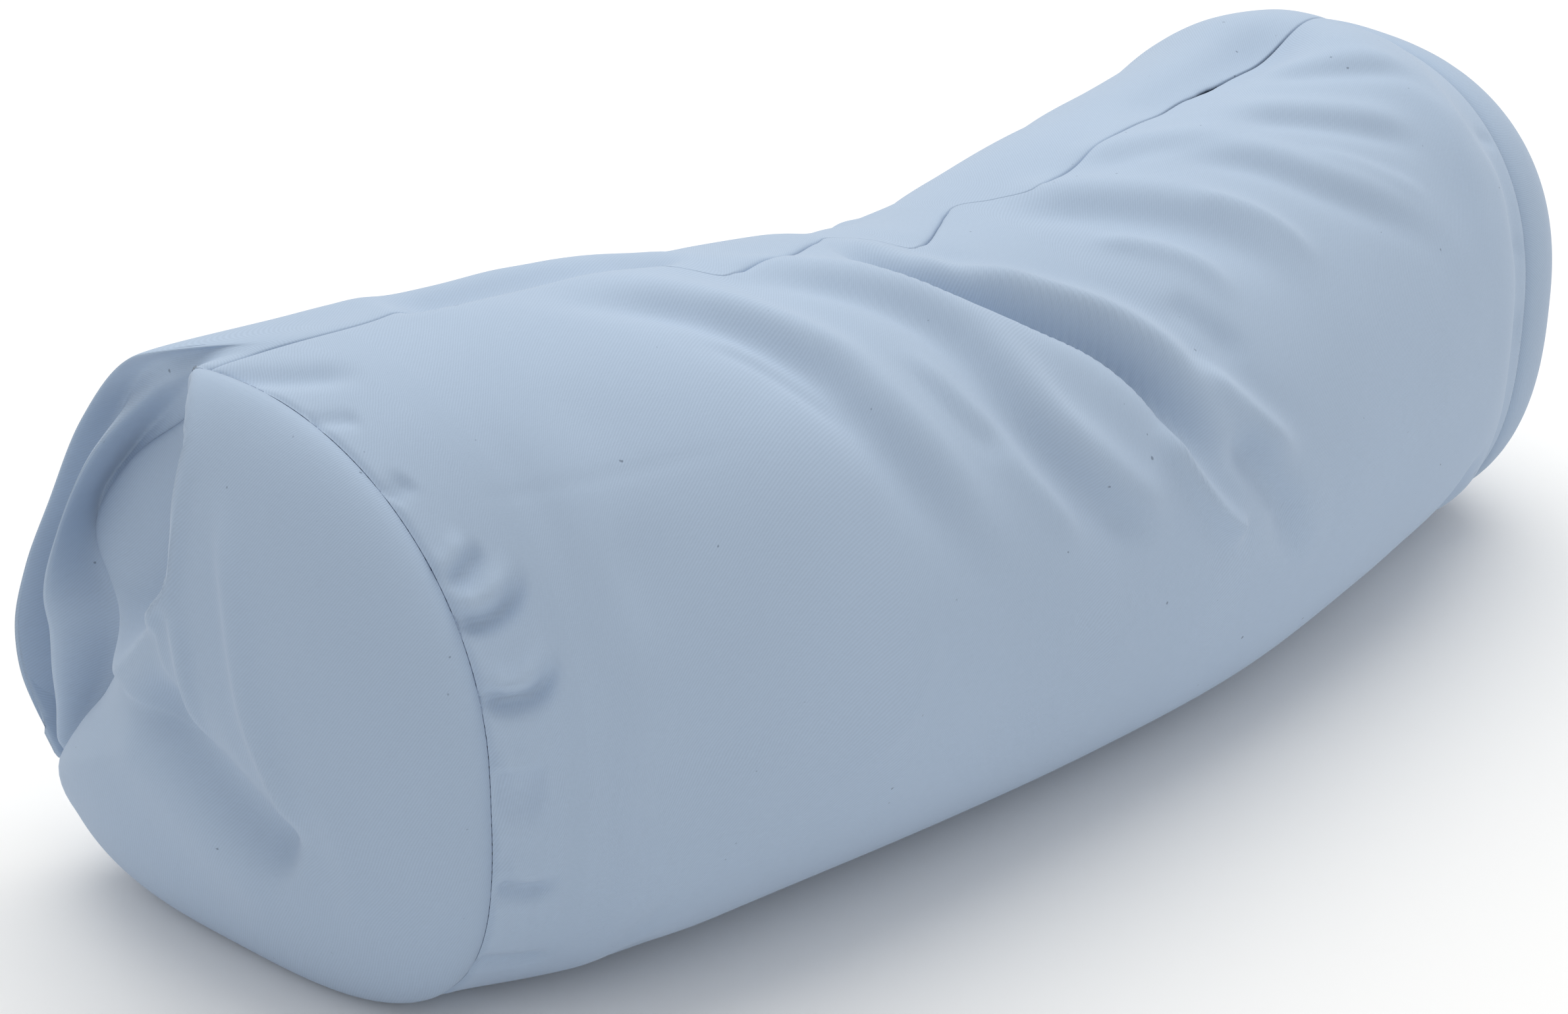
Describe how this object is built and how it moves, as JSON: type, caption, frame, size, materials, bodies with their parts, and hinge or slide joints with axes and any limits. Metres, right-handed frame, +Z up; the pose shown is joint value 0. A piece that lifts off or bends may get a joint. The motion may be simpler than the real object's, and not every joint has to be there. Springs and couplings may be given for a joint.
{
  "type": "bolster pillow",
  "caption": "Round bolster pillow with a limp filled cushion in a sewn cotton twill cover, round end panels and a concealed zip in the lengthwise seam.",
  "frame": {"origin": "middle of the underside, where the pillow rests", "axes": "+X along the pillow from the end whose panel the picture shows to the far end, +Z up, and +Y towards the hollow side of the bend"},
  "size_m": [0.4724, 0.1834, 0.1503],
  "materials": {
    "twill": "pale steel-blue cotton twill, matt, fine diagonal wales",
    "seam_thread": "cotton-wrapped sewing thread, a shade darker than the twill",
    "casing_thread": "undyed sewing thread",
    "zip_tape": "woven polyester tape",
    "zip_nylon": "moulded nylon",
    "zip_metal": "die-cast, enamelled to match the cloth",
    "casing_cotton": "undyed thin plain-weave cotton",
    "fibre_filling": "loose polyester fibre"
  },
  "bodies": {
    "pillow": {"cover_body_panel": "twill", "cover_end_panel_near": "twill", "cover_end_panel_far": "twill", "end_seam_thread_near": "seam_thread", "end_seam_thread_far": "seam_thread", "plain_seam_thread_near": "seam_thread", "plain_seam_thread_far": "seam_thread", "zip_stitching_front": "seam_thread", "zip_stitching_back": "seam_thread", "cushion_seam_thread_near": "casing_thread", "cushion_seam_thread_far": "casing_thread", "zip_tape_front": "zip_tape", "zip_tape_back": "zip_tape", "zip_coil_front": "zip_nylon", "zip_coil_back": "zip_nylon", "zip_top_stop_front": "zip_nylon", "zip_top_stop_back": "zip_nylon", "zip_bottom_stop": "zip_nylon", "cushion_body_panel": "casing_cotton", "cushion_end_panel_near": "casing_cotton", "cushion_end_panel_far": "casing_cotton", "filling": "fibre_filling"},
    "slider": {"zip_slider": "zip_metal"},
    "pull_tab": {"zip_pull_tab": "zip_metal"}
  },
  "joints": [
    {"name": "zip_slide", "type": "hinge", "parent": "pillow", "child": "slider", "pos_m": [0.00041, 0.69914, 0.14], "axis": [0, 0, 1], "range_deg": [0, 19.4]},
    {"name": "tab_hinge", "type": "hinge", "parent": "slider", "child": "pull_tab", "pos_m": [-0.11749, 0.01053, 0.14878], "axis": [0.1677, 0.9797, -0.1095], "range_deg": [0, 170]}
  ]
}
